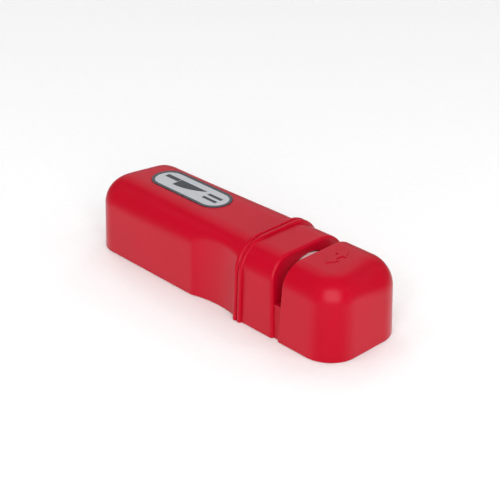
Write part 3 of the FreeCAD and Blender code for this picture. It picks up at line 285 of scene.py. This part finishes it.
RED = rgb(183, 1, 34)
RED_DEEP = rgb(179, 1, 31)
RED_WORN = rgb(226, 70, 84)
MATERIALS = {
    "red_plastic": moulded_plastic("red_plastic", RED, RED_DEEP, RED_WORN, 0.30),
    "inner_plastic": moulded_plastic("inner_plastic", rgb(182, 6, 36), rgb(176, 5, 32),
                                     RED_WORN, 0.44),
    "base_plastic": moulded_plastic("base_plastic", rgb(44, 45, 47), rgb(38, 39, 41),
                                    rgb(92, 93, 96), 0.5, grain=0.3 * MM, depth=0.02 * MM),
    "hub_plastic": moulded_plastic("hub_plastic", rgb(224, 221, 208), rgb(214, 210, 196),
                                   rgb(240, 238, 230), 0.42),
    "ceramic": ceramic("ceramic"),
    "steel": ground_steel("steel", rgb(196, 198, 202), rgb(176, 178, 184), 0.26),
    "screw_steel": ground_steel("screw_steel", rgb(188, 190, 196), rgb(160, 166, 176), 0.32,
                                (700.0, 700.0, 90.0)),
    "badge_frame": lacquer("badge_frame", rgb(58, 63, 68), rgb(68, 73, 78), 0.3),
    "badge_face": brushed_face("badge_face"),
    "badge_print": lacquer("badge_print", rgb(48, 53, 58), rgb(56, 60, 66), 0.36),
    "foot_rubber": rubber("foot_rubber"),
}
NODE_SLOTS = {
    "red_plastic": ["handle_shell", "mid_shell", "head_shell"],
    "inner_plastic": ["wheel_chassis", "rear_axle_cap", "front_axle_cap"],
    "base_plastic": ["handle_base_plate", "front_base_plate"],
    "hub_plastic": ["centre_washer", "rear_thrust_washer", "front_thrust_washer",
                    "rear_wheel_hub", "front_wheel_hub"],
    "ceramic": ["rear_ceramic_wheel", "front_ceramic_wheel"],
    "steel": ["wheel_axle", "axle_clip"],
    "screw_steel": ["axle_cap_screws", "handle_base_screws", "front_base_screws",
                    "cover_screws", "handle_joint_screws"],
    "badge_frame": ["badge_bezel"],
    "badge_face": ["badge_plate"],
    "badge_print": ["badge_emblem"],
    "foot_rubber": ["foot_pad_rear_near", "foot_pad_rear_far", "foot_pad_front_near",
                    "foot_pad_front_far"],
}


def dress_nodes():
    """Gives every CAD node its finished material."""
    for slot, names in NODE_SLOTS.items():
        for name in names:
            data = NODES[name].data
            data.materials.clear()
            data.materials.append(MATERIALS[slot])


# ---------------------------------------------------------------- stage

FLOOR_SIZE = 6.0
FLOOR_COLOURS = (rgb(249, 249, 249), rgb(252, 252, 252))


def make_floor():
    """A plain pale floor, which the object doesn't mirror."""
    half = FLOOR_SIZE / 2
    data = bpy.data.meshes.new("floor")
    corners = [(-half, -half, 0), (half, -half, 0), (half, half, 0), (-half, half, 0)]
    data.from_pydata(corners, [], [(0, 1, 2, 3)])
    floor = bpy.data.objects.new("floor", data)
    scene.collection.objects.link(floor)
    shader = Shader("floor_paper")
    fibre = shader.noise(3 * MM, detail=4.0)
    shader.set(Base_Color=shader.mix(shader.span(fibre, 0.2, 0.8), *FLOOR_COLOURS),
               Roughness=0.8)
    data.materials.append(shader.material)
    floor.visible_glossy = False


class Sky:
    """Nodes for the studio surround, as functions of the direction of a ray."""

    def __init__(self, world):
        self.tree = world.node_tree
        self.tree.nodes.clear()
        self.ray = self.tree.nodes.new("ShaderNodeTexCoord").outputs["Generated"]

    def towards(self, azimuth, elevation):
        """Cosine of the angle between a ray and a fixed direction."""
        node = self.tree.nodes.new("ShaderNodeVectorMath")
        node.operation = "DOT_PRODUCT"
        self.tree.links.new(self.ray, node.inputs[0])
        node.inputs[1].default_value = direction(azimuth, elevation)
        return node.outputs["Value"]

    def ramp(self, value, start, end, low, high):
        """Goes smoothly from low to high as a value goes from start to end."""
        node = self.tree.nodes.new("ShaderNodeMapRange")
        node.interpolation_type = "SMOOTHSTEP"
        self.tree.links.new(value, node.inputs["Value"])
        for name, number in (("From Min", start), ("From Max", end), ("To Min", low),
                             ("To Max", high)):
            node.inputs[name].default_value = number
        return node.outputs["Result"]

    def join(self, operation, first, second):
        """One sum, product or choice of two values."""
        node = self.tree.nodes.new("ShaderNodeMath")
        node.operation = operation
        self.tree.links.new(first, node.inputs[0])
        self.tree.links.new(second, node.inputs[1])
        return node.outputs["Value"]

    def light(self, strength):
        """White light whose strength is a node's value."""
        node = self.tree.nodes.new("ShaderNodeBackground")
        node.inputs["Color"].default_value = (1.0, 1.0, 1.0, 1.0)
        self.tree.links.new(strength, node.inputs["Strength"])
        return node.outputs["Background"]


FRONT_AZIMUTH = 45.0
FRONT_COSINES = (0.25, 0.8)       # full and no light from below, towards the front
GROUND_SINES = (-0.38, -0.02)     # elevations of full and of no light from below
BACKDROP_AZIMUTH = 225.0
BACKDROP_ELEVATION = 35.0
BACKDROP_COSINES = (0.78, 0.97)   # the backdrop's rim and its full part
BACKDROP_LIGHT = (0.1, 0.6)       # strength around it and on it


def make_world():
    """Dim surroundings with a brighter backdrop behind the object; below the horizon the light
    of a pale ground, which leaves out the front."""
    world = bpy.data.worlds.new("studio")
    world.use_nodes = True
    scene.world = world
    sky = Sky(world)
    height = sky.towards(0.0, RIGHT_ANGLE)
    front = sky.towards(FRONT_AZIMUTH, 0.0)
    ground = sky.join("MULTIPLY", sky.ramp(height, *GROUND_SINES, 1.0, 0.0),
                      sky.ramp(front, *FRONT_COSINES, 1.0, 0.0))
    backdrop = sky.ramp(sky.towards(BACKDROP_AZIMUTH, BACKDROP_ELEVATION), *BACKDROP_COSINES,
                        *BACKDROP_LIGHT)
    output = sky.tree.nodes.new("ShaderNodeOutputWorld")
    shine = sky.light(sky.join("MAXIMUM", ground, backdrop))
    sky.tree.links.new(shine, output.inputs["Surface"])
    scene.view_settings.view_transform = "Standard"


TENT_RADIUS = 0.9
TENT_PANEL = 0.24
TENT_RADIANCE = 2.8
TENT_RINGS = ((10.0, 8), (36.0, 8), (62.0, 5), (90.0, 1))    # elevation, number of panels
KEY_AZIMUTH = 48.0
KEY_ELEVATION = 27.0
KEY_DISTANCE = 0.95
KEY_PANEL = 0.85
KEY_RADIANCE = 2.6
FULL_TURN = 360.0


def make_panel(name, azimuth, elevation, distance, size, radiance):
    """A soft square panel that faces the middle of the footprint."""
    away = direction(azimuth, elevation)
    data = bpy.data.lights.new(name, "AREA")
    data.shape = "SQUARE"
    data.size = size
    data.energy = radiance * math.pi * size ** 2
    panel = bpy.data.objects.new(name, data)
    scene.collection.objects.link(panel)
    panel.location = away * distance
    panel.rotation_mode = "QUATERNION"
    panel.rotation_quaternion = away.to_track_quat("Z", "Y")
    panel.visible_camera = False
    return panel


def make_lights():
    """A tent of even light that the plastic doesn't mirror, and one panel that it does."""
    for lift, count in TENT_RINGS:
        for index in range(count):
            turn = FULL_TURN / count * (index + 0.5)
            panel = make_panel(f"tent_{lift:.0f}_{index}", turn, lift, TENT_RADIUS, TENT_PANEL,
                               TENT_RADIANCE)
            panel.visible_glossy = False
    make_panel("key_panel", KEY_AZIMUTH, KEY_ELEVATION, KEY_DISTANCE, KEY_PANEL, KEY_RADIANCE)


make_camera()
dress_nodes()
make_floor()
make_world()
make_lights()
